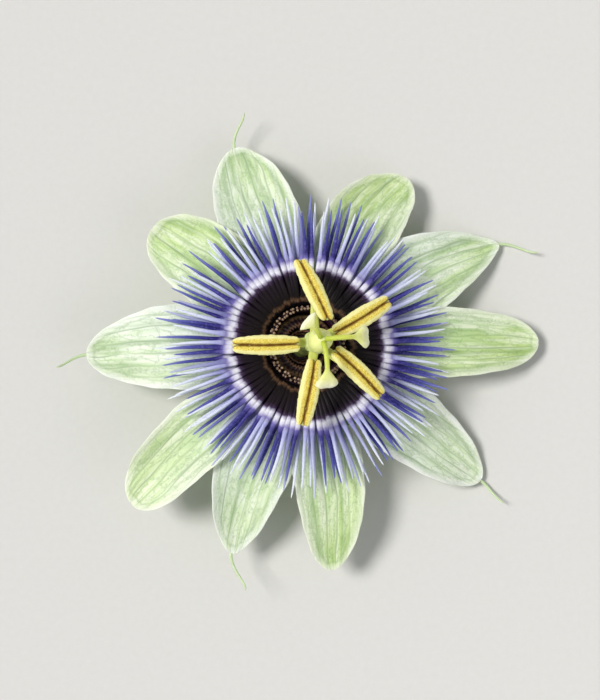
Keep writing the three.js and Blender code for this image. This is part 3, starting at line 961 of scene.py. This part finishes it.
def ovary(bottom, top, radius):
    """An egg with three shallow lobes."""
    t = shares("ovary")
    height = bottom + (top - bottom) * (1 - np.cos(math.pi * t)) / 2
    share = np.sin(math.pi * t) ** 0.85 * (1 - 0.1 * np.cos(math.pi * t))
    profile = np.stack([radius * share + POINT, height], axis=-1)
    rings = turned_rings(profile, AROUND["ovary"])
    lobes = 0.045 * np.cos(3 * (angles(AROUND["ovary"]) - math.radians(STYLES[1][0])))
    rings[..., :2] *= (1 + lobes)[:, None]
    return Form().add(rings, along=t[:, None] ** 2)


# ---- Stamens and styles ----


def stamen_filament(azimuth, root, low, tip, high, width, thickness):
    s = shares("filament")
    line = upright_curve([[root, low], [root + 2.8, low + 0.7], [tip - 2.5, high - 0.8], [tip, high]], s)
    ends = round_ends(s, 0.01, 0.03)
    wide = width / 2 * (1 - 0.62 * s**1.3) * ends + POINT
    thick = thickness / 2 * (1 - 0.35 * s) * ends + POINT
    rings = tube_rings(line, wide, thick, AROUND["filament"])
    return Form().add(turn(rings, azimuth), along=s[:, None])


def anther(azimuth, turned, middle, height, length, width, dip):
    """Two long pollen lobes side by side on a thin back, narrowing and a little arched to both ends."""
    form = Form()
    s = shares("anther")
    from_middle = np.abs(2 * s - 1)
    drop = length / 2 * math.sin(math.radians(dip))
    line = np.zeros((len(s), 3))
    line[:, 0] = length / 2 * (2 * s - 1)
    line[:, 1] = 0.35 * np.sin(2.2 * s + azimuth)
    line[:, 2] = height + drop * (1 - 2 * s) - 0.5 * from_middle**2
    line = turn(line, turned) + np.array([middle, 0.0, 0.0])
    lobe = width / 4
    angle = angles(AROUND["lobe"])
    taper = (1 - 0.42 * from_middle**2) * round_ends(s, 0.06, 0.06)
    for side in (-1, 1):
        beside = line.copy()
        beside[:, 1] += side * lobe * 0.98 * (1 - 0.3 * from_middle**2.4)
        size = taper * (1 + 0.05 * np.sin(5 * s + azimuth + side))
        rings = tube_rings(beside, lobe * 1.05 * size + POINT, 0.72 * size + POINT, AROUND["lobe"])
        rings = roughen(roughen(rings, 0.12, 1.1), 0.06, 4.0)
        across = (side * lobe + lobe * np.cos(angle)) / (2 * lobe)
        front = rise(np.sin(angle), -0.5, 0.0)
        form.add(turn(rings, azimuth), along=s[:, None], across=across[None, :], front=front[None, :])
    spine = line.copy()
    spine[:, 2] -= 0.35
    rings = tube_rings(spine, 0.75 * taper + POINT, 0.45 * taper + POINT, AROUND["spine"])
    return form.add(turn(rings, azimuth), along=s[:, None])


def style(azimuth, points, radius, stigma):
    """A round style that widens into a flat, fan-shaped stigma with a notched, warty end."""
    s = shares("style")
    line = upright_curve(points, s)
    head = rise(s, 0.6, 0.95)
    end = np.sqrt(np.clip(1 - np.clip((s - 0.88) / 0.12, 0, 1) ** 2.6, 0, 1))
    slim = radius * (1.1 - 0.2 * s)
    wide = (slim + (stigma - radius) * head) * end + POINT
    high = (slim + 0.55 * head) * end + POINT
    rings = tube_rings(line, wide, high, AROUND["style"])
    centre = line[:, None]
    head = head[:, None]
    upwards = np.abs(np.sin(angles(AROUND["style"])))
    notch = 1 - 0.34 * head * np.exp(-(((upwards - 1) / 0.14) ** 2))
    rings = centre + (rings - centre) * notch[..., None]
    warts = 0.13 * head * noise_at(rings, 1.7) + 0.05 * head * noise_at(rings, 4.5)
    rings = rings + unit(rings - centre) * warts[..., None]
    return Form().add(turn(rings, azimuth), along=s[:, None])


# ---- Cut stalk ----


def stalk():
    seat = in_world(np.array([0.0, 0.0, STALK["below"]])) / MM
    under = in_world(np.array([-0.1, 0.0, STALK["below"] - 1.4])) / MM
    table = [[RIM_CENTRE[0] + x, RIM_CENTRE[1] + y, z] for x, y, z in STALK_ON_TABLE]
    line = smooth_path([seat, under, *table], RINGS["stalk"])
    travel = np.concatenate([[0], np.cumsum(np.linalg.norm(np.diff(line, axis=0), axis=1))])
    joint = 0.22 * np.exp(-(((travel - 7.5) / 0.55) ** 2))
    swelling = (STALK["top"] - STALK["radius"]) * np.exp(-((travel / 2.2) ** 2))
    radius = STALK["radius"] * (1 - 0.04 * travel / travel[-1]) + joint + swelling
    rings = tube_rings(line, radius, radius, AROUND["stalk"])
    ribs = 0.04 * np.cos(5 * angles(AROUND["stalk"]) + 0.6) * rise(travel, 1, 5)[:, None]
    rings = line[:, None] + (rings - line[:, None]) * (1 + ribs)[..., None]
    end = rings[-1]
    middle = end.mean(axis=0)
    cut = np.stack([middle + (end - middle) * share for share in (0.97, 0.9, 0.55, 0.5, 0.2)])
    cut[2:4] += unit(line[-1] - line[-2]) * -0.05
    front = np.concatenate([np.zeros(len(rings)), [0.6, 1, 1, 1, 1]])
    return Form().add(np.concatenate([rings, cut]), front=front[:, None])


# ---- Stage ----


def make_floor():
    bpy.ops.mesh.primitive_plane_add(size=4, location=(0, 0, -0.0001))
    floor = bpy.context.object
    floor.name = "floor"
    floor.data.materials.append(floor_material())


def make_light(kind, place, **settings):
    """A light at a place, pointing at the flower."""
    light = bpy.data.lights.new(kind, kind)
    for name, value in settings.items():
        setattr(light, name, value)
    made = bpy.data.objects.new(kind, light)
    made.location = place
    made.rotation_euler = (LOOK_AT - Vector(place)).to_track_quat("-Z", "Y").to_euler()
    scene.collection.objects.link(made)


def make_studio():
    """Light from all around."""
    world = bpy.data.worlds.new("studio")
    world.use_nodes = True
    tree = world.node_tree
    place = tree.nodes.new("ShaderNodeTexCoord")
    split = tree.nodes.new("ShaderNodeSeparateXYZ")
    ramp = tree.nodes.new("ShaderNodeValToRGB")
    for element, (position, colour) in zip(ramp.color_ramp.elements, STUDIO):
        element.position = position
        element.color = colour
    tree.links.new(place.outputs["Generated"], split.inputs[0])
    tree.links.new(split.outputs["Z"], ramp.inputs["Fac"])
    tree.links.new(ramp.outputs["Color"], tree.nodes["Background"].inputs["Color"])
    scene.world = world


def make_camera():
    camera = bpy.data.objects.new("camera", bpy.data.cameras.new("camera"))
    camera.data.lens = CAMERA_LENS
    camera.data.clip_start = 0.01
    tilt, away = math.radians(CAMERA_TILT), math.radians(CAMERA_TOWARDS)
    back = Vector((math.sin(tilt) * math.cos(away), math.sin(tilt) * math.sin(away), math.cos(tilt)))
    right = Vector((0, 1, 0)).cross(back).normalized()
    up = back.cross(right)
    camera.location = LOOK_AT + back * CAMERA_DISTANCE
    camera.rotation_euler = Matrix((right, up, back)).transposed().to_euler()
    scene.collection.objects.link(camera)
    scene.camera = camera


# ---- Assembly ----


def make_blades():
    for name, shared, own, material in (
        ("sepal", SEPAL, SEPALS, sepal_material()),
        ("petal", PETAL, PETALS, petal_material()),
    ):
        for number, values in enumerate(zip(*own.values()), 1):
            blade = shared | dict(zip(own, values))
            piece(tepal(blade), f"{name}_{number}", material)
    leaf = leaf_material()
    for number, azimuth in enumerate(BRACTS, 1):
        piece(bract(azimuth, **BRACT), f"bract_{number}", leaf)


def make_corona_and_cup():
    thread = long_thread_material()
    piece(long_row(OUTER_ROW, OUTER_LINE, 0.0, 1.08), "corona_outer_row", thread)
    piece(long_row(SECOND_ROW, SECOND_LINE, 0.5, 1.16), "corona_second_row", thread)
    piece(short_row(), "corona_inner_row", short_thread_material())
    fold = fold_material()
    piece(operculum(), "operculum", fold)
    piece(limen(), "limen", fold)
    piece(floral_cup(), "floral_cup", cup_material())


def make_middle():
    green = speckled_material("column", (150, 160, 84), (196, 208, 128), (92, 40, 92), 0.85)
    piece(column(), "column", green)
    arm = speckled_material("filament", (198, 208, 100), (218, 220, 122), (118, 66, 92), 0.6)
    pollen = anther_material()
    for number, (azimuth, turned) in enumerate(STAMENS, 1):
        piece(stamen_filament(azimuth, **FILAMENT), f"stamen_filament_{number}", arm)
        piece(anther(azimuth, turned, **ANTHER), f"anther_{number}", pollen)
    piece(ovary(**OVARY), "ovary", ovary_material())
    cream = style_material()
    for number, (azimuth, points) in enumerate(STYLES, 1):
        piece(style(azimuth, points, **STYLE), f"style_{number}", cream)


scene.view_settings.view_transform = "Standard"
make_camera()
make_light("SUN", **SUN)
make_light("AREA", **FILL)
make_studio()
make_floor()
make_blades()
make_corona_and_cup()
make_middle()
piece(stalk(), "stalk", stalk_material(), on_table)
